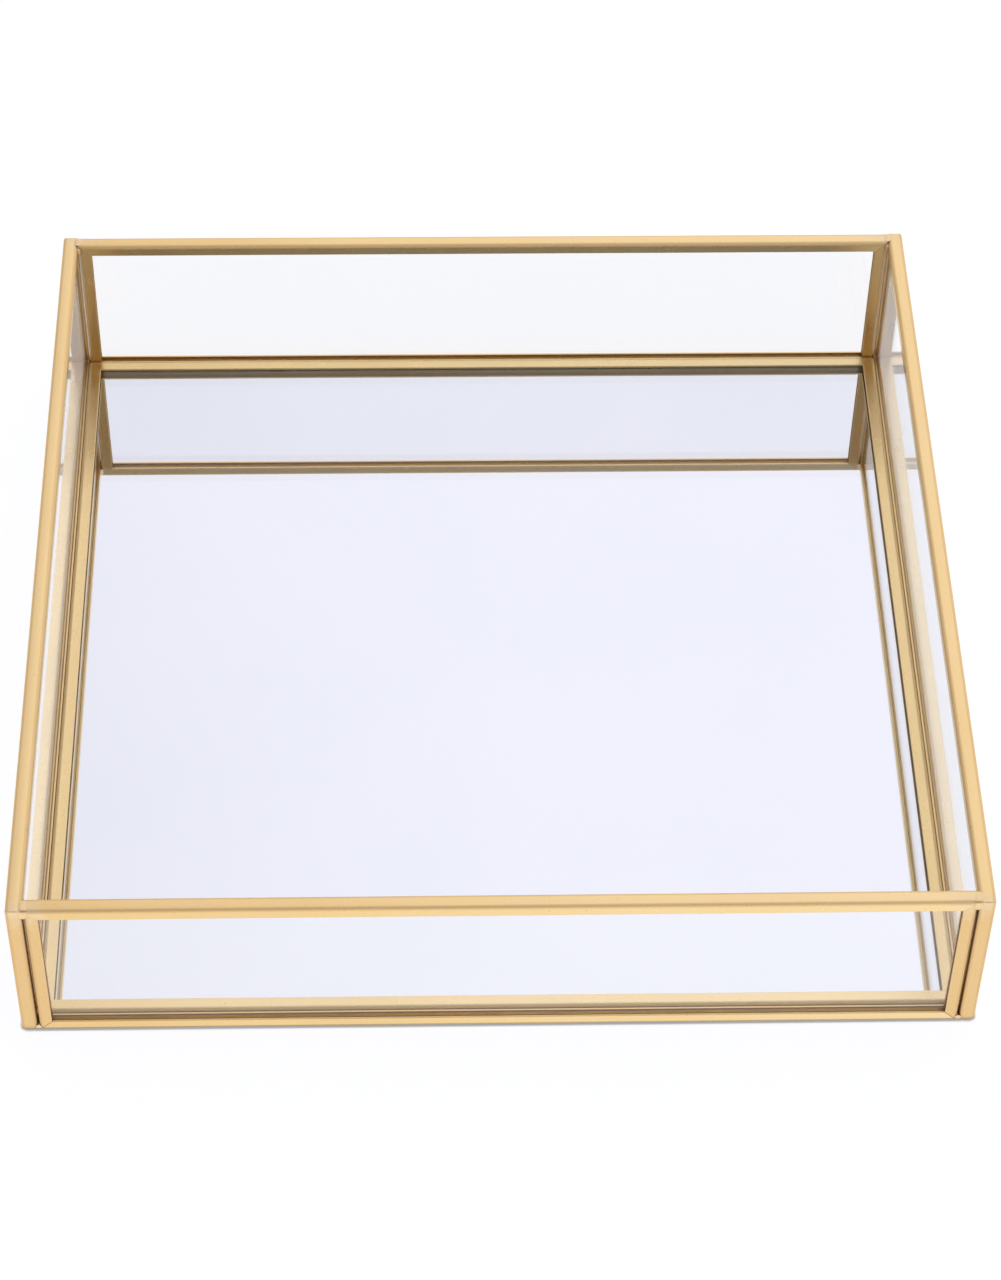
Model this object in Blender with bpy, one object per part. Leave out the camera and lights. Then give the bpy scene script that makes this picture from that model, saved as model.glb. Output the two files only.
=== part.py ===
"""Square vanity tray: glass walls and a mirror floor, bound in folded brass channel and soldered.

Metres, +Z up, front towards -Y. The origin is the middle of the underside.
Each panel is bound by four mitred lengths of one U-shaped channel. The left and right walls run the
whole depth, the front and back walls fit between them, and the mirror panel fits inside all four.
"""

import math

import bmesh
import bpy
from mathutils import Vector

# Driving dimensions
WIDTH = 0.254
DEPTH = 0.254
HEIGHT = 0.052

# The brass channel that binds every panel
CHANNEL_WIDTH = 0.0044
FLANGE_DEPTH = 0.0036
SHEET = 0.0004
BEND_RADIUS = 0.0005
BEND_STEPS = 3

# Clearances
PIECE_GAP = 0.0003
MITRE_GAP = 0.0002

# The panels
GLASS_THICKNESS = 0.003
ARRIS = 0.0003
SILVERING_THICKNESS = 0.0002
SILVERING_GAP = 0.0001

# Solder joints, in plan: u runs across the seam and v runs inwards from the outer face
SOLDER_HEIGHT = 0.0028
SOLDER_END_MARGIN = 0.0006
SOLDER_FACE_HALF = 0.0003
SOLDER_FACE_INSET = 0.00006
SOLDER_THROAT_HALF = 0.00005
SOLDER_THROAT_START = 0.0004
SOLDER_INNER_CLEARANCE = 0.0001
SOLDER_FILLET_LEG = 0.00125

# Sizes that follow from those above
END_WALL_LENGTH = WIDTH - 2 * (CHANNEL_WIDTH + PIECE_GAP)
BASE_WIDTH = WIDTH - 2 * (CHANNEL_WIDTH + PIECE_GAP)
BASE_DEPTH = DEPTH - 2 * (CHANNEL_WIDTH + PIECE_GAP)
SEAM_X = WIDTH / 2 - CHANNEL_WIDTH - PIECE_GAP / 2
QUARTER_TURN = math.pi / 2


def clear_scene():
    for obj in list(bpy.data.objects):
        bpy.data.objects.remove(obj, do_unlink=True)


def make_material(name, color, metallic, roughness, transmission=0.0):
    material = bpy.data.materials.new(name)
    material.use_nodes = True
    shader = material.node_tree.nodes["Principled BSDF"]
    shader.inputs["Base Color"].default_value = (*color, 1.0)
    shader.inputs["Metallic"].default_value = metallic
    shader.inputs["Roughness"].default_value = roughness
    shader.inputs["Transmission Weight"].default_value = transmission
    return material


def add_object(name, mesh, material, parent=None):
    """Puts a mesh into the scene as one named piece."""
    mesh.materials.append(material)
    obj = bpy.data.objects.new(name, mesh)
    obj.parent = parent
    bpy.context.collection.objects.link(obj)
    return obj


def add_empty(name, location, rotation):
    empty = bpy.data.objects.new(name, None)
    empty.location = location
    empty.rotation_euler = rotation
    bpy.context.collection.objects.link(empty)
    return empty


def channel_outline():
    """The channel's cross-section: (across, inwards) points, from one flange tip round to the other."""
    half = CHANNEL_WIDTH / 2
    outline = [(-half, FLANGE_DEPTH)]
    for side, first_angle in ((-1, math.pi), (1, 1.5 * math.pi)):
        centre_across = side * (half - BEND_RADIUS)
        for step in range(BEND_STEPS + 1):
            angle = first_angle + QUARTER_TURN * step / BEND_STEPS
            across = centre_across + BEND_RADIUS * math.cos(angle)
            inwards = BEND_RADIUS + BEND_RADIUS * math.sin(angle)
            outline.append((across, inwards))
    outline.append((half, FLANGE_DEPTH))
    outline.append((half - SHEET, FLANGE_DEPTH))
    outline.append((half - SHEET, SHEET))
    outline.append((-half + SHEET, SHEET))
    outline.append((-half + SHEET, FLANGE_DEPTH))
    return outline


def channel_mesh(name, length):
    """A mitred length of channel along X, its web face down on Z = 0 and its flanges up."""
    outline = channel_outline()
    work = bmesh.new()
    ends = []
    for side in (-1, 1):
        ring = []
        for across, inwards in outline:
            along = side * (length / 2 - MITRE_GAP - inwards)
            ring.append(work.verts.new((along, across, inwards)))
        ends.append(ring)
        work.faces.new(ring)
    count = len(outline)
    for index in range(count):
        following = (index + 1) % count
        corners = (ends[0][index], ends[0][following], ends[1][following], ends[1][index])
        work.faces.new(corners)
    bmesh.ops.recalc_face_normals(work, faces=work.faces)
    mesh = bpy.data.meshes.new(name)
    work.to_mesh(mesh)
    work.free()
    mesh.shade_smooth()
    mesh.set_sharp_from_angle(angle=math.radians(40))
    return mesh


def add_channel(name, length, parent, location, rotation, material):
    channel = add_object(name, channel_mesh(name, length), material, parent)
    channel.location = location
    channel.rotation_euler = rotation
    return channel


def add_bound_frame(names, length, height, parent, material):
    """Four channels round a panel that stands on the parent's X axis, in the parent's XZ plane.

    names gives the low, high, -X and +X channels, in that order.
    """
    low, high, minus_side, plus_side = names
    middle = height / 2
    add_channel(low, length, parent, (0, 0, 0), (0, 0, 0), material)
    add_channel(high, length, parent, (0, 0, height), (math.pi, 0, 0), material)
    add_channel(minus_side, height, parent, (-length / 2, 0, middle), (0, QUARTER_TURN, 0), material)
    add_channel(plus_side, height, parent, (length / 2, 0, middle), (0, -QUARTER_TURN, 0), material)


def add_sheet(name, length, height, thickness, parent, offset, material):
    """A flat panel in the middle of its frame, with its sharp edges taken off."""
    margin = SHEET + PIECE_GAP
    size = Vector((length - 2 * margin, thickness, height - 2 * margin))
    work = bmesh.new()
    bmesh.ops.create_cube(work, size=1.0)
    for vertex in work.verts:
        vertex.co = vertex.co * size
    mesh = bpy.data.meshes.new(name)
    work.to_mesh(mesh)
    work.free()
    sheet = add_object(name, mesh, material, parent)
    sheet.location = (0, offset, height / 2)
    if thickness > 3 * ARRIS:
        bevel = sheet.modifiers.new("arris", "BEVEL")
        bevel.width = ARRIS
        bevel.segments = 1
        bevel.limit_method = "ANGLE"
    return sheet


def add_walls(brass, glass):
    side_x = WIDTH / 2 - CHANNEL_WIDTH / 2
    end_y = DEPTH / 2 - CHANNEL_WIDTH / 2
    walls = (
        ("front", END_WALL_LENGTH, (0, -end_y, 0), 0, ("left", "right")),
        ("back", END_WALL_LENGTH, (0, end_y, 0), math.pi, ("right", "left")),
        ("left", DEPTH, (-side_x, 0, 0), -QUARTER_TURN, ("back", "front")),
        ("right", DEPTH, (side_x, 0, 0), QUARTER_TURN, ("front", "back")),
    )
    for wall, length, location, turn, (minus_end, plus_end) in walls:
        frame = add_empty(f"{wall}_wall", location, (0, 0, turn))
        names = (
            f"{wall}_bottom_channel",
            f"{wall}_top_channel",
            f"{wall}_{minus_end}_upright",
            f"{wall}_{plus_end}_upright",
        )
        add_bound_frame(names, length, HEIGHT, frame, brass)
        add_sheet(f"{wall}_glass", length, HEIGHT, GLASS_THICKNESS, frame, 0, glass)


def add_base(brass, mirror, silvering):
    """The mirror panel: a bound frame laid flat, so that its local Z runs from front to back."""
    location = (0, -BASE_DEPTH / 2, CHANNEL_WIDTH / 2)
    frame = add_empty("base_panel", location, (-QUARTER_TURN, 0, 0))
    names = ("base_front_channel", "base_back_channel", "base_left_channel", "base_right_channel")
    add_bound_frame(names, BASE_WIDTH, BASE_DEPTH, frame, brass)
    floor = SHEET - CHANNEL_WIDTH / 2
    silvering_middle = floor + SILVERING_GAP + SILVERING_THICKNESS / 2
    glass_middle = floor + 2 * SILVERING_GAP + SILVERING_THICKNESS + GLASS_THICKNESS / 2
    add_sheet("mirror_glass", BASE_WIDTH, BASE_DEPTH, GLASS_THICKNESS, frame, -glass_middle, mirror)
    add_sheet(
        "mirror_silvering", BASE_WIDTH, BASE_DEPTH, SILVERING_THICKNESS, frame, -silvering_middle, silvering
    )


def solder_outline(with_fillet):
    """The joint in plan: a wedge in the seam's mouth, a throat through the seam, and an inner fillet."""
    throat = SOLDER_THROAT_HALF
    inner = CHANNEL_WIDTH + SOLDER_INNER_CLEARANCE
    outline = [
        (-throat, SOLDER_THROAT_START),
        (-SOLDER_FACE_HALF, SOLDER_FACE_INSET),
        (SOLDER_FACE_HALF, SOLDER_FACE_INSET),
        (throat, SOLDER_THROAT_START),
    ]
    if with_fillet:
        outline.append((throat, inner))
        outline.append((SOLDER_FILLET_LEG - throat, inner))
        outline.append((-throat, inner + SOLDER_FILLET_LEG))
    else:
        outline.append((throat, CHANNEL_WIDTH))
        outline.append((-throat, CHANNEL_WIDTH))
    return outline


def add_solder(name, side, end, low, with_fillet, material):
    """One joint at the corner on the given side (-1 left, 1 right) and end (-1 front, 1 back)."""
    work = bmesh.new()
    ring = []
    for u, v in solder_outline(with_fillet):
        ring.append(work.verts.new((side * (SEAM_X - u), end * (DEPTH / 2 - v), low)))
    floor = work.faces.new(ring)
    grown = bmesh.ops.extrude_face_region(work, geom=[floor])["geom"]
    for item in grown:
        if isinstance(item, bmesh.types.BMVert):
            item.co.z += SOLDER_HEIGHT
    bmesh.ops.recalc_face_normals(work, faces=work.faces)
    mesh = bpy.data.meshes.new(name)
    work.to_mesh(mesh)
    work.free()
    add_object(name, mesh, material)


def add_corner_joints(material):
    top_low = HEIGHT - SOLDER_END_MARGIN - SOLDER_HEIGHT
    for end_name, end in (("front", -1), ("back", 1)):
        for side_name, side in (("left", -1), ("right", 1)):
            corner = f"solder_{end_name}_{side_name}"
            add_solder(f"{corner}_top", side, end, top_low, True, material)
            add_solder(f"{corner}_bottom", side, end, SOLDER_END_MARGIN, False, material)


def main():
    clear_scene()
    brass = make_material("brass", (0.80, 0.58, 0.30), 1.0, 0.3)
    glass = make_material("clear_glass", (0.96, 0.98, 0.97), 0.0, 0.02, transmission=1.0)
    mirror = make_material("mirror", (0.90, 0.91, 0.93), 1.0, 0.02)
    silvering = make_material("mirror_back", (0.42, 0.42, 0.43), 0.3, 0.5)
    solder = make_material("solder", (0.62, 0.55, 0.42), 1.0, 0.4)
    add_walls(brass, glass)
    add_base(brass, mirror, silvering)
    add_corner_joints(solder)


main()
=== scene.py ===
import math

import bmesh
import bpy
from mathutils import Matrix, Vector, noise as noise_3d


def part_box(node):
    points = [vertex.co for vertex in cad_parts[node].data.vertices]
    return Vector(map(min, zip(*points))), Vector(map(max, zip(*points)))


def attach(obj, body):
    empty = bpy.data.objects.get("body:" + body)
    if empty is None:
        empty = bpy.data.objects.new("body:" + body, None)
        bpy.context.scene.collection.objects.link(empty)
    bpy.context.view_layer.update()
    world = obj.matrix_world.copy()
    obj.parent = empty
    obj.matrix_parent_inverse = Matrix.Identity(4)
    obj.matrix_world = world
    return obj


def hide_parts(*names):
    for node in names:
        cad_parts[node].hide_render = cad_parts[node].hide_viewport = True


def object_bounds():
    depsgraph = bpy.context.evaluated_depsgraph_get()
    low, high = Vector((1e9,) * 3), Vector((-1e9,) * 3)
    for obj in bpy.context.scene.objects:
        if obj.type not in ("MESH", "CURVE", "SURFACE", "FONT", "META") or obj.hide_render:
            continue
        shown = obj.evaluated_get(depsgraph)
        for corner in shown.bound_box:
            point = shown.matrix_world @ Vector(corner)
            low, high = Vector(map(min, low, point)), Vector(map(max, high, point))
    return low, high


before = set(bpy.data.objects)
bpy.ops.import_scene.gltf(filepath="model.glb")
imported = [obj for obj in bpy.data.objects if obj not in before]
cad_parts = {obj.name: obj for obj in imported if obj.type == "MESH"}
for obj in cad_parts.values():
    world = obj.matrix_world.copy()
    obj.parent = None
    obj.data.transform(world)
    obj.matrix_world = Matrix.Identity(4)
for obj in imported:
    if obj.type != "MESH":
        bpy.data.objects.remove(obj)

CAD_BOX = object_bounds()

# Lengths are in metres throughout.

# Camera, aimed at a point of the tray
CAMERA_AZIMUTH = math.radians(-2.06)
CAMERA_ELEVATION = math.radians(48.74)
CAMERA_ROLL = math.radians(1.09)
CAMERA_DISTANCE = 1.0188
CAMERA_TARGET = Vector((0.00285, 0.00071, 0.010))
CAMERA_LENS = 99.37
CAMERA_SENSOR = 36.0
CAMERA_CLIP_END = 50.0

# Brass channel
SHEET = 0.0004
WEB_CROWN = 0.00007
CROWN_SHARES = (0.25, 0.5, 0.75, 0.94)
WALL_HEM = 0.0006
BASE_HEM = 0.00057
BASE_SEAM_CLOSING = 0.00022
CAD_MITRE_GAP = 0.0002
OPEN_MITRE = 0.0001
SOLDERED_MITRE = 0.00001
BEND_RADIUS = 0.0009
INNER_BEND_RADIUS = 0.00015
TIP_RADIUS = 0.00012
TOP_CORNER_RADIUS = 0.0004
FOOT_CORNER_RADIUS = 0.0008
BEND_WEAR = 1.0
TIP_WEAR = 0.3
END_STATIONS = (0.0, 0.00012, 0.00025, 0.0004, 0.0006, 0.0008, 0.001, 0.002)
END_REACH = 0.004
STATION_PITCH = 0.006
CHANNEL_SHARP_ANGLE = 35

# Unevenness of the channel: two sines along it, in radians per metre, which start anew in each channel
WAVE_HEIGHT = 0.00002
SLOW_WAVE = 71.0
QUICK_WAVE = 163.0
QUICK_WAVE_SHARE = 0.6
QUICK_WAVE_SEED = 2.3
LIFT_SEED = 1.7
SEED_STEP = 1.37

# Marks on the brass. Each pair is (full up to this distance, gone from this distance)
# Painted shade: the corner seams and the foot of the tray are darkened
SEAM_PAINTED_SHADE = (0.0003, 0.0006)
SEAM_PAINTED_SHADE_DEPTH = 0.0018
FOOT_PAINTED_SHADE = (0.0009, 0.0012)
FOOT_PAINTED_SHADE_STRENGTH = 0.3
TINNED = (0.0016, 0.0052)
TINNED_STRETCH = 0.62

# Brass colours, from light to dark
BRASS_TINTS = {
    "pale": ((0.96, 0.725, 0.38), (0.935, 0.68, 0.325), (0.85, 0.58, 0.245)),
    "clean": ((0.985, 0.77, 0.42), (0.975, 0.745, 0.375), (0.90, 0.65, 0.29)),
    "deep": ((0.87, 0.62, 0.31), (0.825, 0.56, 0.255), (0.73, 0.47, 0.19)),
    "solder": ((0.94, 0.71, 0.39), (0.90, 0.66, 0.34), (0.80, 0.56, 0.27)),
}
# Painted shade: the colour that the seams and the foot are darkened towards
PAINTED_SHADE_TINT = (0.22, 0.13, 0.06)
TINNED_TINT = (0.92, 0.72, 0.45)

# Brass finish. The noise scales are per metre
STREAKS_ACROSS = 900.0
STREAKS_ALONG = 22.0
CLOUD_SCALE = 95.0
DRIFT_SCALE = 17.0
SPECK_SCALE = 1500.0
FILM_SCALE = 420.0
CLOUD_TONE = (0.18, 0.42)
STREAK_TONE = 0.16
DRIFT_TONE = 0.42
# Painted light: brass along X gets paler towards +X by this much tone per metre
PAINTED_LIGHT_TOWARDS_X = 2.0
TONE_STOPS = (0.22, 0.56, 0.86)
SPECK_RANGE = (0.71, 0.78)
SPECK_SHADE = 0.72
WORN_COVER = 0.25
# Painted shade: how far the seams and the foot go towards that colour
PAINTED_SHADE_COVER = 0.85
FILM_GRAIN = 1.3
FILM_RANGE = (0.80, 1.75)
FILM_COVER = 0.75
CLOUD_ROUGHNESS = (0.25, 0.32)
SPECK_ROUGHNESS = 0.2
WORN_ROUGHNESS = 0.32
TINNED_ROUGHNESS = 0.12
STREAK_HEIGHT = 0.00002
STREAK_STRENGTH = 0.22

# Glass
GLASS_IOR = 1.52
GLASS_BEVEL = 0.00035
MIRROR_BEVEL = 0.0002
BEVEL_STEPS = 3
SHEET_SHARP_ANGLE = 25
UNDERSIDE_NORMAL = -0.9

# Solder bead. The step counts are of its stations, and of the points across it
BEAD_HALF_WIDTH = 0.00105
BEAD_CROWN = 0.00005
BEAD_EDGE_SINK = 0.00002
BEAD_UNDERSIDE_SINK = 1.5
BEAD_ROOT = 0.0003
BEAD_ROOT_HALF = 0.00013
BEAD_DOWN_FACE = 0.0030
BEAD_ALONG_TOP = 0.0037
BEAD_BLUNT_END = 0.00004
BEAD_TAPER = 0.0009
BEAD_FACE_STEPS = 8
TOP_BEND_STEPS = 6
TOP_FACE_STEPS = 10
BEAD_STEPS = 12
FOOT_BEAD_UP_FACE = 0.0022
FOOT_BEAD_SCALE = 0.7
FOOT_BEND_ARC = math.pi / 3
FOOT_BEND_STEPS = 4
RIPPLE_ACROSS = 900
RIPPLE_ALONG = 700
RIPPLE_END = 3.0
RIPPLE_WIDTH = 0.25
RIPPLE_HEIGHT = 0.3
SOLDER_SHARP_ANGLE = 60

# Solder fillet and throat. Each swell is (size at the ends, share of the length that it takes to fill out)
FILLET_LEG = 0.0012
FILLET_SWELL = (0.25, 0.4)
FILLET_STEPS = 10
FILLET_ARC_STEPS = 6
THROAT_HALF = 0.00013
THROAT_DEPTHS = (0.0012, 0.0042)
THROAT_HEIGHTS = (0.0001, 0.0042)
THROAT_SWELL = (0.2, 0.2)
THROAT_SAG = 0.0006
THROAT_SAG_REACH = 0.3
THROAT_STEPS = 8

# Room. Each zone is (direction, cosine at its rim, cosine at its core, factor at its rim, factor at its core)
ROOM_WHITE = (0.985, 0.975, 1.05)
WINDOW = ((0.12, 0.72, 0.68), 0.62, 0.97, 0.80, 1.0)
UNLIT_FRONT = ((0.0, -1.0, 1.1), 0.80, 0.97, 1.0, 0.35)
UNLIT_LEFT = ((-0.9, 0.1, 0.42), 0.33, 0.85, 1.0, 0.62)

# Floor. The contact shade is (openness where it is full, openness where it ends, glow in it, glow outside it)
FLOOR_HALF_SIDE = 12.0
FLOOR_WHITE = 0.17
FLOOR_GLOW = 0.925
FLOOR_LIGHT = (0.975, 0.98, 1.0)
CONTACT_REACH = 0.0012
CONTACT_SHADE = (0.58, 0.88, 0.35, 1.0)

WALL_ENDS = {
    "front": ("left", "right"),
    "back": ("left", "right"),
    "left": ("front", "back"),
    "right": ("front", "back"),
}


# ---------------------------------------------------------------- materials

def new_material(name):
    """A new material, its node tree and its Principled shader."""
    material = bpy.data.materials.new(name)
    material.use_nodes = True
    tree = material.node_tree
    shader = tree.nodes["Principled BSDF"]
    return material, tree, shader


def add_node(tree, kind, **inputs):
    node = tree.nodes.new(kind)
    for key, value in inputs.items():
        node.inputs[key.replace("_", " ")].default_value = value
    return node


def scaled_position(tree, scale):
    """Position in metres times a scale for each axis, so that streaks can run along one of them."""
    coordinates = tree.nodes.new("ShaderNodeTexCoord")
    mapping = tree.nodes.new("ShaderNodeMapping")
    mapping.inputs["Scale"].default_value = scale
    tree.links.new(coordinates.outputs["Object"], mapping.inputs["Vector"])
    return mapping.outputs["Vector"]


def noise(tree, vector, scale, detail=3.0, roughness=0.5):
    node = add_node(tree, "ShaderNodeTexNoise", Scale=scale, Detail=detail, Roughness=roughness)
    tree.links.new(vector, node.inputs["Vector"])
    return node.outputs["Fac"]


def remap(tree, value, low, high, to_low, to_high):
    node = tree.nodes.new("ShaderNodeMapRange")
    for name, number in (("From Min", low), ("From Max", high), ("To Min", to_low), ("To Max", to_high)):
        node.inputs[name].default_value = number
    tree.links.new(value, node.inputs["Value"])
    return node.outputs["Result"]


def color_ramp(tree, value, stops):
    node = tree.nodes.new("ShaderNodeValToRGB")
    ramp = node.color_ramp
    while len(ramp.elements) < len(stops):
        ramp.elements.new(0.5)
    for element, (position, color) in zip(ramp.elements, stops):
        element.position = position
        element.color = (*color, 1.0)
    tree.links.new(value, node.inputs["Fac"])
    return node.outputs["Color"]


def bump(tree, height, distance, strength, normal=None):
    node = tree.nodes.new("ShaderNodeBump")
    node.inputs["Distance"].default_value = distance
    node.inputs["Strength"].default_value = strength
    tree.links.new(height, node.inputs["Height"])
    if normal is not None:
        tree.links.new(normal, node.inputs["Normal"])
    return node.outputs["Normal"]


def add_weighted(tree, first, second, weight):
    """first + weight * second."""
    node = tree.nodes.new("ShaderNodeMath")
    node.operation = "MULTIPLY_ADD"
    node.inputs[1].default_value = weight
    tree.links.new(second, node.inputs[0])
    tree.links.new(first, node.inputs[2])
    return node.outputs[0]


def multiplied(tree, first, second):
    node = tree.nodes.new("ShaderNodeMath")
    node.operation = "MULTIPLY"
    tree.links.new(first, node.inputs[0])
    tree.links.new(second, node.inputs[1])
    return node.outputs[0]


def blended(tree, color, tint, share):
    """The colour moved towards one fixed tint, by a share that varies over the surface."""
    node = tree.nodes.new("ShaderNodeMix")
    node.data_type = "RGBA"
    node.inputs["B"].default_value = (*tint, 1.0)
    tree.links.new(share, node.inputs["Factor"])
    tree.links.new(color, node.inputs["A"])
    return node.outputs["Result"]


def mesh_value(tree, name):
    """A value that the mesh carries at each of its points."""
    node = tree.nodes.new("ShaderNodeAttribute")
    node.attribute_name = name
    return node.outputs["Fac"]


def brass_material(name, tint, along):
    """Satin brass rubbed along one axis: fine lines, a slow drift of tone and a few dull specks.

    Brass that runs along X also gets paler towards +X, a painted light as if lit more from the right. The
    mesh says where it is worn, where shade is painted on it and where it is tinned.
    """
    material, tree, shader = new_material(name)
    light, middle, dark = BRASS_TINTS[tint]
    streak_scale = [STREAKS_ACROSS] * 3
    streak_scale[along] = STREAKS_ALONG
    even = scaled_position(tree, (1, 1, 1))
    streaks = noise(tree, scaled_position(tree, streak_scale), 3.0, 4.0)
    clouds = noise(tree, even, CLOUD_SCALE, 4.0, 0.55)
    drift = noise(tree, even, DRIFT_SCALE, 1.0, 0.5)
    tone = add_weighted(tree, remap(tree, clouds, 0.0, 1.0, *CLOUD_TONE), streaks, STREAK_TONE)
    tone = add_weighted(tree, tone, drift, DRIFT_TONE)
    # Painted light: brass along X is paler towards +X, as if lit more from the right
    if along == 0:
        place = tree.nodes.new("ShaderNodeSeparateXYZ")
        tree.links.new(even, place.inputs["Vector"])
        tone = add_weighted(tree, tone, place.outputs["X"], PAINTED_LIGHT_TOWARDS_X)
    color = color_ramp(tree, tone, list(zip(TONE_STOPS, (dark, middle, light))))
    specks = remap(tree, noise(tree, even, SPECK_SCALE, 2.0, 0.5), *SPECK_RANGE, 0.0, 1.0)
    worn = mesh_value(tree, "edge")
    tinned = mesh_value(tree, "tinned")
    film = add_weighted(tree, tinned, noise(tree, even, FILM_SCALE, 4.0, 0.6), FILM_GRAIN)
    layers = (
        (light, remap(tree, worn, 0.0, 1.0, 0.0, WORN_COVER)),
        ([SPECK_SHADE * channel for channel in dark], specks),
        (TINNED_TINT, remap(tree, film, *FILM_RANGE, 0.0, FILM_COVER)),
        # Painted shade in the seams and along the foot
        (PAINTED_SHADE_TINT, remap(tree, mesh_value(tree, "painted_shade"), 0.0, 1.0, 0.0, PAINTED_SHADE_COVER)),
    )
    for layer_tint, share in layers:
        color = blended(tree, color, layer_tint, share)
    tree.links.new(color, shader.inputs["Base Color"])
    shader.inputs["Metallic"].default_value = 1.0
    rough = add_weighted(tree, remap(tree, clouds, 0.3, 0.7, *CLOUD_ROUGHNESS), specks, SPECK_ROUGHNESS)
    rough = add_weighted(tree, rough, worn, WORN_ROUGHNESS)
    rough = add_weighted(tree, rough, tinned, TINNED_ROUGHNESS)
    tree.links.new(rough, shader.inputs["Roughness"])
    tree.links.new(bump(tree, streaks, STREAK_HEIGHT, STREAK_STRENGTH), shader.inputs["Normal"])
    return material


def solder_material():
    """Solder under the same brass finish, a little paler and duller where it flowed."""
    material, tree, shader = new_material("solder_metal")
    light, middle, dark = BRASS_TINTS["solder"]
    grain = noise(tree, scaled_position(tree, (1, 1, 1)), 800.0, 4.0, 0.6)
    color = color_ramp(tree, grain, [(0.30, dark), (0.47, middle), (0.66, light)])
    tree.links.new(color, shader.inputs["Base Color"])
    shader.inputs["Metallic"].default_value = 1.0
    tree.links.new(remap(tree, grain, 0.3, 0.7, 0.27, 0.38), shader.inputs["Roughness"])
    tree.links.new(bump(tree, grain, 0.00004, 0.25), shader.inputs["Normal"])
    return material


def glass_material(name):
    """Clear float glass with the faintest film on it."""
    material, tree, shader = new_material(name)
    film = noise(tree, scaled_position(tree, (1, 1, 1)), 30.0, 3.0)
    color = color_ramp(tree, film, [(0.3, (0.99, 0.994, 0.998)), (0.7, (0.997, 0.999, 1.0))])
    tree.links.new(color, shader.inputs["Base Color"])
    shader.inputs["Transmission Weight"].default_value = 1.0
    shader.inputs["Roughness"].default_value = 0.0
    shader.inputs["IOR"].default_value = GLASS_IOR
    return material


def silver_material():
    """The silvering as it is seen through the mirror's glass."""
    material, tree, shader = new_material("silver_face")
    cloud = noise(tree, scaled_position(tree, (1, 1, 1)), 12.0, 2.0)
    color = color_ramp(tree, cloud, [(0.3, (0.88, 0.90, 0.925)), (0.7, (0.90, 0.915, 0.94))])
    tree.links.new(color, shader.inputs["Base Color"])
    shader.inputs["Metallic"].default_value = 1.0
    shader.inputs["Roughness"].default_value = 0.0
    return material


def paint_material():
    """Dull grey paint over the back of the silvering."""
    material, tree, shader = new_material("mirror_back_paint")
    speck = noise(tree, scaled_position(tree, (1, 1, 1)), 700.0, 3.0, 0.6)
    color = color_ramp(tree, speck, [(0.35, (0.10, 0.11, 0.12)), (0.65, (0.16, 0.17, 0.18))])
    tree.links.new(color, shader.inputs["Base Color"])
    rough = remap(tree, speck, 0.3, 0.7, 0.45, 0.6)
    tree.links.new(rough, shader.inputs["Roughness"])
    tree.links.new(bump(tree, speck, 0.00003, 0.3), shader.inputs["Normal"])
    return material


# ---------------------------------------------------------------- brass channel

def arc_points(centre, radius, start, sweep, steps):
    points = []
    for step in range(steps + 1):
        angle = start + sweep * step / steps
        points.append((centre[0] + radius * math.cos(angle), centre[1] + radius * math.sin(angle)))
    return points


def channel_outline(width, depth, hem):
    """Cross-section of the folded channel as (across, inwards, edge) points; edge is its wear, 0 to 1.

    The flanges lean in to the panel, so each is as thick as the hem at its tip.
    """
    half = width / 2
    quarter = math.pi / 2
    bend = BEND_RADIUS
    inner = INNER_BEND_RADIUS
    tip = TIP_RADIUS
    crown = [((half - bend) * share, WEB_CROWN * share ** 2) for share in CROWN_SHARES]
    stretches = (
        (crown, 0.0),
        (arc_points((half - bend, bend + WEB_CROWN), bend, -quarter, quarter, 8), BEND_WEAR),
        ([(half, bend * 1.3), (half, depth - tip * 3)], 0.0),
        (arc_points((half - tip, depth - tip), tip, 0.0, quarter, 3), TIP_WEAR),
        (arc_points((half - hem + tip, depth - tip), tip, quarter, quarter, 3), TIP_WEAR),
        (arc_points((half - SHEET - inner, SHEET + inner), inner, 0.0, -quarter, 4), 0.0),
    )
    right = []
    for points, edge in stretches:
        right += [(across, inwards, edge) for across, inwards in points]
    left = [(-across, inwards, edge) for across, inwards, edge in reversed(right)]
    return [(0.0, 0.0, 0.0)] + right + left


def channel_stations(length):
    """Distances along the channel from its middle, close together near the ends."""
    half = length / 2
    reach = half - END_REACH
    count = max(2, round((length - 2 * END_REACH) / STATION_PITCH))
    stations = [-half + step for step in END_STATIONS]
    stations += [-reach + 2 * reach * index / count for index in range(count + 1)]
    stations += [half - step for step in reversed(END_STATIONS)]
    return stations


def rounded_corner(from_end, inwards, radius):
    """Pulls a point near the frame's outer corner in to a round corner."""
    across_gap = radius - from_end
    down_gap = radius - inwards
    reach = math.hypot(across_gap, down_gap)
    if across_gap <= 0 or down_gap <= 0 or reach <= radius:
        return from_end, inwards
    shrink = radius / reach
    return radius - across_gap * shrink, radius - down_gap * shrink


def wave(position, seed):
    """A slow unevenness of hand-fitted channel, between -1 and 1."""
    slow = math.sin(position * SLOW_WAVE + seed)
    quick = QUICK_WAVE_SHARE * math.sin(position * QUICK_WAVE + QUICK_WAVE_SEED * seed)
    return (slow + quick) / (1.0 + QUICK_WAVE_SHARE)


def falling(value, start, end):
    """1 up to start, 0 from end on, and smooth between them."""
    share = max(0.0, min(1.0, (end - value) / (end - start)))
    return share * share * (3.0 - 2.0 * share)


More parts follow.
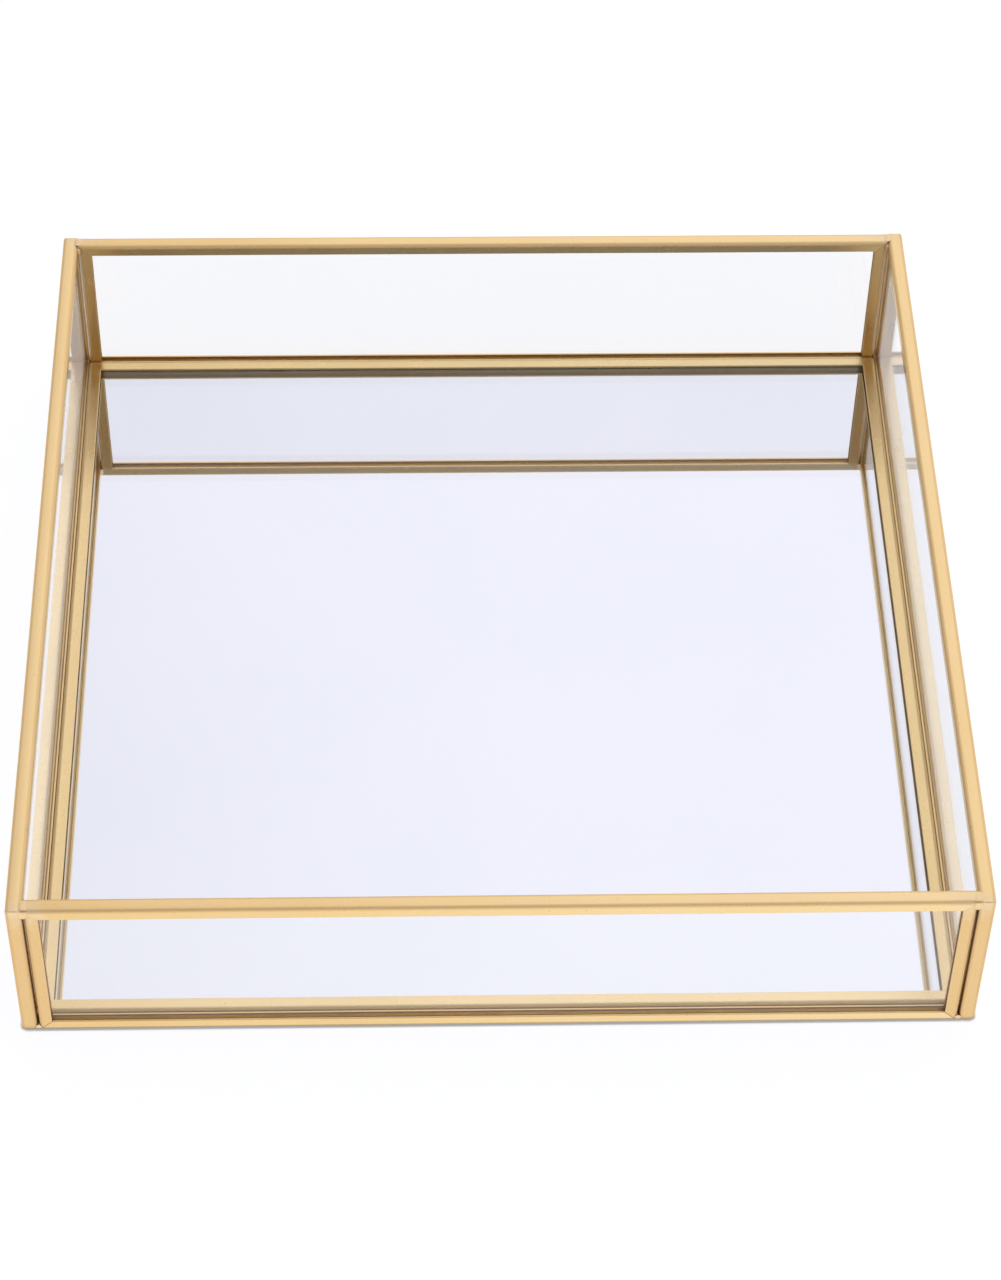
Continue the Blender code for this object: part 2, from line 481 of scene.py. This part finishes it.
def mark_vertex(vertex, layers, seam_x):
    """Notes how far the painted shade of the foot and of the seams, and the tinned top corners, reach over a
    point.
    """
    painted_shade_layer, tinned_layer = layers
    low, high = CAD_BOX
    across = abs(vertex.co.x) - seam_x
    inwards = high.y - abs(vertex.co.y)
    below = high.z - vertex.co.z
    # Painted shade: darker in the corner seams and along the foot
    seam = falling(abs(across), *SEAM_PAINTED_SHADE) * (inwards < SEAM_PAINTED_SHADE_DEPTH)
    foot = falling(vertex.co.z - low.z, *FOOT_PAINTED_SHADE) * FOOT_PAINTED_SHADE_STRENGTH
    vertex[painted_shade_layer] = max(seam, foot)
    reach = math.hypot(across * TINNED_STRETCH, inwards, below * TINNED_STRETCH)
    vertex[tinned_layer] = falling(reach, *TINNED)


def mark_mesh(mesh):
    """Stores those reaches on a channel that already stands in its place."""
    side_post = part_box("right_front_upright")
    end_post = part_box("front_right_upright")
    seam_x = (side_post[0].x + end_post[1].x) / 2
    work = bmesh.new()
    work.from_mesh(mesh)
    layers = [work.verts.layers.float.new(name) for name in ("painted_shade", "tinned")]
    for vertex in work.verts:
        mark_vertex(vertex, layers, seam_x)
    work.to_mesh(mesh)
    work.free()


def bridge_rings(work, rings):
    """Closes a row of equal rings into one body."""
    count = len(rings[0])
    for first, second in zip(rings, rings[1:]):
        for index in range(count):
            following = (index + 1) % count
            work.faces.new((first[index], first[following], second[following], second[index]))
    work.faces.new(rings[0])
    work.faces.new(rings[-1])


def channel_mesh(name, length, width, depth, hem, ends, seed):
    """A mitred channel along X. ends gives (mitre gap, corner radius) at its -X and at its +X end."""
    outline = channel_outline(width, depth, hem)
    half = length / 2
    work = bmesh.new()
    edge_layer = work.verts.layers.float.new("edge")
    rings = []
    for station in channel_stations(length):
        ring = []
        gap, radius = ends[station > 0]
        swell = 1.0 + wave(station, seed) * WAVE_HEIGHT / width
        lift = wave(station, seed + LIFT_SEED) * WAVE_HEIGHT
        for across, inwards, edge in outline:
            limit = half - gap - inwards
            along = max(-limit, min(limit, station))
            from_end, moved = rounded_corner(half - abs(along), inwards, radius)
            along = math.copysign(half - from_end, along)
            flange = min(1.0, inwards / depth)
            vertex = work.verts.new((along, across * swell, moved + lift * flange))
            vertex[edge_layer] = edge
            ring.append(vertex)
        rings.append(ring)
    bridge_rings(work, rings)
    bmesh.ops.remove_doubles(work, verts=work.verts, dist=1e-7)
    return finished_mesh(work, name, CHANNEL_SHARP_ANGLE)


def finished_mesh(work, name, sharp_angle):
    """Turns a bmesh into a mesh with its faces outwards and its creases sharp."""
    bmesh.ops.recalc_face_normals(work, faces=work.faces)
    mesh = bpy.data.meshes.new(name)
    work.to_mesh(mesh)
    work.free()
    mesh.shade_smooth()
    mesh.set_sharp_from_angle(angle=math.radians(sharp_angle))
    return mesh


def add_piece(name, mesh, materials, slot, *replaced):
    """Puts a mesh in the scene as a piece of the body, in the place of the CAD nodes that it replaces."""
    for material in materials:
        mesh.materials.append(material)
    piece = bpy.data.objects.new(name, mesh)
    bpy.context.scene.collection.objects.link(piece)
    flats = piece.modifiers.new("flat_faces_stay_flat", "WEIGHTED_NORMAL")
    flats.keep_sharp = True
    flats.weight = 100
    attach(piece, "root")
    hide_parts(*replaced)
    return piece


def corner_ends(node):
    """(mitre gap, corner radius) at the low and at the high end of a channel."""
    foot = (OPEN_MITRE, FOOT_CORNER_RADIUS)
    top = (SOLDERED_MITRE, TOP_CORNER_RADIUS)
    if node.startswith("base"):
        return (SOLDERED_MITRE, 0.0), (SOLDERED_MITRE, 0.0)
    if node.endswith("upright"):
        return foot, top
    return (top, top) if "_top_" in node else (foot, foot)


def add_channel(node, panel, material_set, seed):
    """A finely folded channel in the place of a CAD channel that binds the given panel."""
    low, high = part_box(node)
    panel_low, panel_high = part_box(panel)
    size = high - low
    depth_axis, width_axis, along = sorted(range(3), key=lambda axis: size[axis])
    middle = (low + high) / 2
    inward_sign = math.copysign(1.0, ((panel_low + panel_high) / 2 - middle)[depth_axis])
    hem, closing = (BASE_HEM, BASE_SEAM_CLOSING) if node.startswith("base") else (WALL_HEM, 0.0)
    length = size[along] + 2 * (CAD_MITRE_GAP + closing)
    depth = size[depth_axis] + closing
    name = f"fine_{node}"
    mesh = channel_mesh(name, length, size[width_axis], depth, hem, corner_ends(node), seed)
    origin = middle.copy()
    origin[depth_axis] = (low if inward_sign > 0 else high)[depth_axis] - inward_sign * closing
    along_vector = Vector((0, 0, 0))
    along_vector[along] = 1.0
    inward_vector = Vector((0, 0, 0))
    inward_vector[depth_axis] = inward_sign
    across_vector = inward_vector.cross(along_vector)
    turn = Matrix((along_vector, across_vector, inward_vector)).transposed().to_4x4()
    mesh.transform(Matrix.Translation(origin) @ turn)
    mark_mesh(mesh)
    return add_piece(name, mesh, [material_set[along]], "brass", node)


def add_channels(pale, deep, clean):
    """The four channels of each wall and of the base. Each set holds a material for each axis."""
    seed = 0.0
    for wall, ends in WALL_ENDS.items():
        plan = [(f"{wall}_{level}_channel", f"{wall}_glass", pale) for level in ("top", "bottom")]
        plan += [(f"{wall}_{end}_upright", f"{wall}_glass", deep) for end in ends]
        plan.append((f"base_{wall}_channel", "mirror_glass", clean))
        for node, panel, material_set in plan:
            seed += SEED_STEP
            add_channel(node, panel, material_set, seed)


# ---------------------------------------------------------------- glass

def sheet_mesh(name, low, high, bevel):
    """A sheet of glass that fills the box from low to high, with its edges ground off."""
    work = bmesh.new()
    bmesh.ops.create_cube(work, size=1.0)
    middle = (low + high) / 2
    size = high - low
    for vertex in work.verts:
        vertex.co = middle + Vector(a * b for a, b in zip(vertex.co, size))
    edges = list(work.edges)
    bmesh.ops.bevel(work, geom=edges, offset=bevel, segments=BEVEL_STEPS, profile=0.5, affect="EDGES")
    return finished_mesh(work, name, SHEET_SHARP_ANGLE)


def add_walls(material):
    for wall in WALL_ENDS:
        node = f"{wall}_glass"
        low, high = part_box(node)
        mesh = sheet_mesh(f"{wall}_pane", low, high, GLASS_BEVEL)
        add_piece(f"{wall}_pane", mesh, [material], "wall_glass", node)


def add_mirror(glass, silver):
    """The mirror's glass, with its underside silvered."""
    low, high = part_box("mirror_glass")
    mesh = sheet_mesh("mirror_pane", low, high, MIRROR_BEVEL)
    for face in mesh.polygons:
        if face.normal.z < UNDERSIDE_NORMAL:
            face.material_index = 1
    add_piece("mirror_pane", mesh, [glass, silver], "mirror", "mirror_glass")


# ---------------------------------------------------------------- solder

def round_end(distance, reach):
    """1 in the middle of a bead, falling to 0 at its end like a quarter circle."""
    near = max(0.0, min(1.0, distance / reach))
    return math.sqrt(max(0.0, 1.0 - (1.0 - near) ** 2))


def swell(share, at_ends, reach):
    """at_ends at both ends of a body and 1 in its middle, for a share of its length from 0 to 1."""
    return at_ends + (1.0 - at_ends) * round_end(min(share, 1.0 - share), reach)


def top_bead_path():
    """Stations of (inwards, below the top, normal) up the outer face, round the edge and along the top."""
    bend = BEND_RADIUS
    path = []
    for step in range(BEAD_FACE_STEPS + 1):
        below = BEAD_DOWN_FACE + (bend - BEAD_DOWN_FACE) * step / BEAD_FACE_STEPS
        path.append((0.0, below, (-1.0, 0.0)))
    for step in range(1, TOP_BEND_STEPS + 1):
        angle = math.pi / 2 * step / TOP_BEND_STEPS
        out, up = math.cos(angle), math.sin(angle)
        path.append((bend - bend * out, bend - bend * up, (-out, up)))
    for step in range(1, TOP_FACE_STEPS + 1):
        inwards = bend + (BEAD_ALONG_TOP - bend) * step / TOP_FACE_STEPS
        path.append((inwards, 0.0, (0.0, 1.0)))
    return path


def foot_bead_path(height):
    """Stations like those of a top bead, down the outer face and a little way under the tray."""
    bend = BEND_RADIUS
    path = []
    for step in range(BEAD_FACE_STEPS + 1):
        above = FOOT_BEAD_UP_FACE + (bend - FOOT_BEAD_UP_FACE) * step / BEAD_FACE_STEPS
        path.append((0.0, height - above, (-1.0, 0.0)))
    for step in range(1, FOOT_BEND_STEPS + 1):
        angle = FOOT_BEND_ARC * step / FOOT_BEND_STEPS
        out, down = math.cos(angle), math.sin(angle)
        above = bend - bend * down
        path.append((bend - bend * out, height - above, (-out, -down)))
    return path


def outer_face(end):
    """The Y of the tray's outer face, at the front where end is negative and else at the back."""
    return CAD_BOX[0].y if end < 0 else CAD_BOX[1].y


def add_bead(work, seam, side, end, path, scale):
    """A low bead over the seam: a crowned skin with feathered edges, and a root down in the seam."""
    outer = outer_face(end)
    top = CAD_BOX[1].z
    travelled = [0.0]
    for (inwards_0, below_0, _), (inwards_1, below_1, _) in zip(path, path[1:]):
        travelled.append(travelled[-1] + math.hypot(inwards_1 - inwards_0, below_1 - below_0))
    rings = []
    for (inwards, below, (normal_in, normal_up)), distance in zip(path, travelled):
        taper = round_end(min(distance, travelled[-1] - distance) + BEAD_BLUNT_END, BEAD_TAPER)
        base = Vector((seam, outer - end * inwards, top - below))
        normal = Vector((0.0, -end * normal_in, normal_up))
        ripple_place = Vector((seam * RIPPLE_ACROSS, distance * RIPPLE_ALONG, end * RIPPLE_END))
        ripple = noise_3d.noise(ripple_place)
        half = BEAD_HALF_WIDTH * scale * taper * (1.0 + RIPPLE_WIDTH * ripple)
        crown = BEAD_CROWN * scale * taper * (1.0 + RIPPLE_HEIGHT * ripple)
        profile = []
        for step in range(BEAD_STEPS + 1):
            across = math.cos(math.pi * step / BEAD_STEPS)
            profile.append((across, (crown + BEAD_EDGE_SINK) * (1.0 - across ** 2) - BEAD_EDGE_SINK))
        for step in range(1, BEAD_STEPS):
            across = -math.cos(math.pi * step / BEAD_STEPS)
            root = taper * BEAD_ROOT * math.exp(-((half * across / BEAD_ROOT_HALF) ** 2))
            profile.append((across, -BEAD_EDGE_SINK * BEAD_UNDERSIDE_SINK - root))
        ring = []
        for across, rise in profile:
            ring.append(work.verts.new(base + Vector((side * half * across, 0, 0)) + normal * rise))
        rings.append(ring)
    bridge_rings(work, rings)


def add_fillet(work, corner, side, end, low, high):
    """A hollow fillet that stands in the inner corner between two channels."""
    rings = []
    for step in range(FILLET_STEPS + 1):
        share = step / FILLET_STEPS
        height = low + (high - low) * share
        leg = FILLET_LEG * swell(share, *FILLET_SWELL)
        plan = [(0.0, 0.0)]
        for turn in range(FILLET_ARC_STEPS + 1):
            angle = -math.pi / 2 - math.pi / 2 * turn / FILLET_ARC_STEPS
            plan.append((leg + leg * math.cos(angle), leg + leg * math.sin(angle)))
        ring = [work.verts.new((corner.x - side * u, corner.y - end * v, height)) for u, v in plan]
        rings.append(ring)
    bridge_rings(work, rings)


def add_throat(work, seam, end):
    """The solder that ran down into the foot of the seam."""
    near, far = THROAT_DEPTHS
    low, high = THROAT_HEIGHTS
    outer = outer_face(end)
    rings = []
    for step in range(THROAT_STEPS + 1):
        share = step / THROAT_STEPS
        half = THROAT_HALF * swell(share, *THROAT_SWELL)
        depth = near + (far - near) * share
        sag = THROAT_SAG * (1.0 - swell(share, 0.0, THROAT_SAG_REACH))
        shoulder = high - sag
        plan = ((-half, low), (half, low), (half, shoulder), (0.0, high - 0.5 * sag), (-half, shoulder))
        rings.append([work.verts.new((seam + u, outer - end * depth, z)) for u, z in plan])
    bridge_rings(work, rings)


def add_corner_solder(side_name, side, end_name, end, material):
    """The two joints of one corner of the tray, at its top and at its foot."""
    side_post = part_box(f"{side_name}_{end_name}_upright")
    end_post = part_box(f"{end_name}_{side_name}_upright")
    if side < 0:
        seam = (side_post[1].x + end_post[0].x) / 2
        inner_x = side_post[1].x
    else:
        seam = (side_post[0].x + end_post[1].x) / 2
        inner_x = side_post[0].x
    inner_y = end_post[1].y if end < 0 else end_post[0].y
    corner = Vector((inner_x, inner_y, 0.0))
    levels = (
        ("top", top_bead_path(), 1.0),
        ("bottom", foot_bead_path(CAD_BOX[1].z), FOOT_BEAD_SCALE),
    )
    for level, path, scale in levels:
        node = f"solder_{end_name}_{side_name}_{level}"
        name = f"fine_{node}"
        work = bmesh.new()
        add_bead(work, seam, side, end, path, scale)
        if level == "top":
            low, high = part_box(node)
            add_fillet(work, corner, side, end, low.z, high.z)
        else:
            add_throat(work, seam, end)
        add_piece(name, finished_mesh(work, name, SOLDER_SHARP_ANGLE), [material], "solder", node)


def add_solder(material):
    for end_name, end in (("front", -1), ("back", 1)):
        for side_name, side in (("left", -1), ("right", 1)):
            add_corner_solder(side_name, side, end_name, end, material)


# ---------------------------------------------------------------- stage

def add_camera():
    """A camera at the photograph's angle."""
    view = Vector((
        math.sin(CAMERA_AZIMUTH) * math.cos(CAMERA_ELEVATION),
        -math.cos(CAMERA_AZIMUTH) * math.cos(CAMERA_ELEVATION),
        math.sin(CAMERA_ELEVATION),
    ))
    camera = bpy.data.objects.new("camera", bpy.data.cameras.new("camera"))
    camera.data.lens = CAMERA_LENS
    camera.data.sensor_width = CAMERA_SENSOR
    camera.data.clip_end = CAMERA_CLIP_END
    level = view.to_track_quat("Z", "Y").to_matrix().to_4x4()
    place = Matrix.Translation(CAMERA_TARGET + view * CAMERA_DISTANCE)
    camera.matrix_world = place @ level @ Matrix.Rotation(CAMERA_ROLL, 4, "Z")
    bpy.context.scene.collection.objects.link(camera)
    bpy.context.scene.camera = camera


def add_floor():
    """A white table, lit from within as well as from the room, so that shadows on it stay faint."""
    reach = FLOOR_HALF_SIDE
    corners = [(-reach, -reach, 0), (reach, -reach, 0), (reach, reach, 0), (-reach, reach, 0)]
    mesh = bpy.data.meshes.new("floor")
    mesh.from_pydata(corners, [], [(0, 1, 2, 3)])
    material, tree, shader = new_material("floor_white")
    shader.inputs["Base Color"].default_value = (FLOOR_WHITE, FLOOR_WHITE, FLOOR_WHITE, 1.0)
    shader.inputs["Roughness"].default_value = 0.9
    shader.inputs["Specular IOR Level"].default_value = 0.0
    shader.inputs["Emission Color"].default_value = (*FLOOR_LIGHT, 1.0)
    contact = tree.nodes.new("ShaderNodeAmbientOcclusion")
    contact.inputs["Distance"].default_value = CONTACT_REACH
    start, end, dark, clear = CONTACT_SHADE
    glow = remap(tree, contact.outputs["AO"], start, end, dark * FLOOR_GLOW, clear * FLOOR_GLOW)
    tree.links.new(glow, shader.inputs["Emission Strength"])
    mesh.materials.append(material)
    floor = bpy.data.objects.new("floor", mesh)
    bpy.context.scene.collection.objects.link(floor)


def zone_factor(tree, direction, centre, rim, core, at_rim, at_core):
    """A factor that goes smoothly from one value to another towards a direction of the room."""
    towards = tree.nodes.new("ShaderNodeVectorMath")
    towards.operation = "DOT_PRODUCT"
    towards.inputs[1].default_value = Vector(centre).normalized()
    tree.links.new(direction, towards.inputs[0])
    factor = remap(tree, towards.outputs["Value"], rim, core, at_rim, at_core)
    factor.node.interpolation_type = "SMOOTHSTEP"
    return factor


def add_world():
    """A white room, brightest at a window behind the table, with its front and its left unlit."""
    world = bpy.data.worlds.new("studio")
    bpy.context.scene.world = world
    world.use_nodes = True
    tree = world.node_tree
    background = tree.nodes["Background"]
    direction = tree.nodes.new("ShaderNodeTexCoord").outputs["Generated"]
    strength, *others = [
        zone_factor(tree, direction, *zone) for zone in (WINDOW, UNLIT_FRONT, UNLIT_LEFT)
    ]
    for factor in others:
        strength = multiplied(tree, strength, factor)
    background.inputs["Color"].default_value = (*ROOM_WHITE, 1.0)
    tree.links.new(strength, background.inputs["Strength"])


def set_color_and_light_paths():
    """Plain colours, and bounces enough for light to get through panes and back from the mirror."""
    scene = bpy.context.scene
    scene.view_settings.view_transform = "Standard"
    scene.view_settings.look = "None"
    scene.cycles.max_bounces = 24
    scene.cycles.glossy_bounces = 12
    scene.cycles.transmission_bounces = 20


def paint_backing():
    """The CAD silvering stays as it is, under a coat of paint."""
    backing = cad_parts["mirror_silvering"]
    backing.data.materials.clear()
    backing.data.materials.append(paint_material())


def main():
    add_camera()
    add_floor()
    add_world()
    set_color_and_light_paths()
    brass_sets = (
        [brass_material(f"{tint}_brass_along_{axis}", tint, index) for index, axis in enumerate("xyz")]
        for tint in ("pale", "deep", "clean")
    )
    add_channels(*brass_sets)
    add_walls(glass_material("clear_glass"))
    add_mirror(glass_material("mirror_glass_body"), silver_material())
    add_solder(solder_material())
    paint_backing()


main()
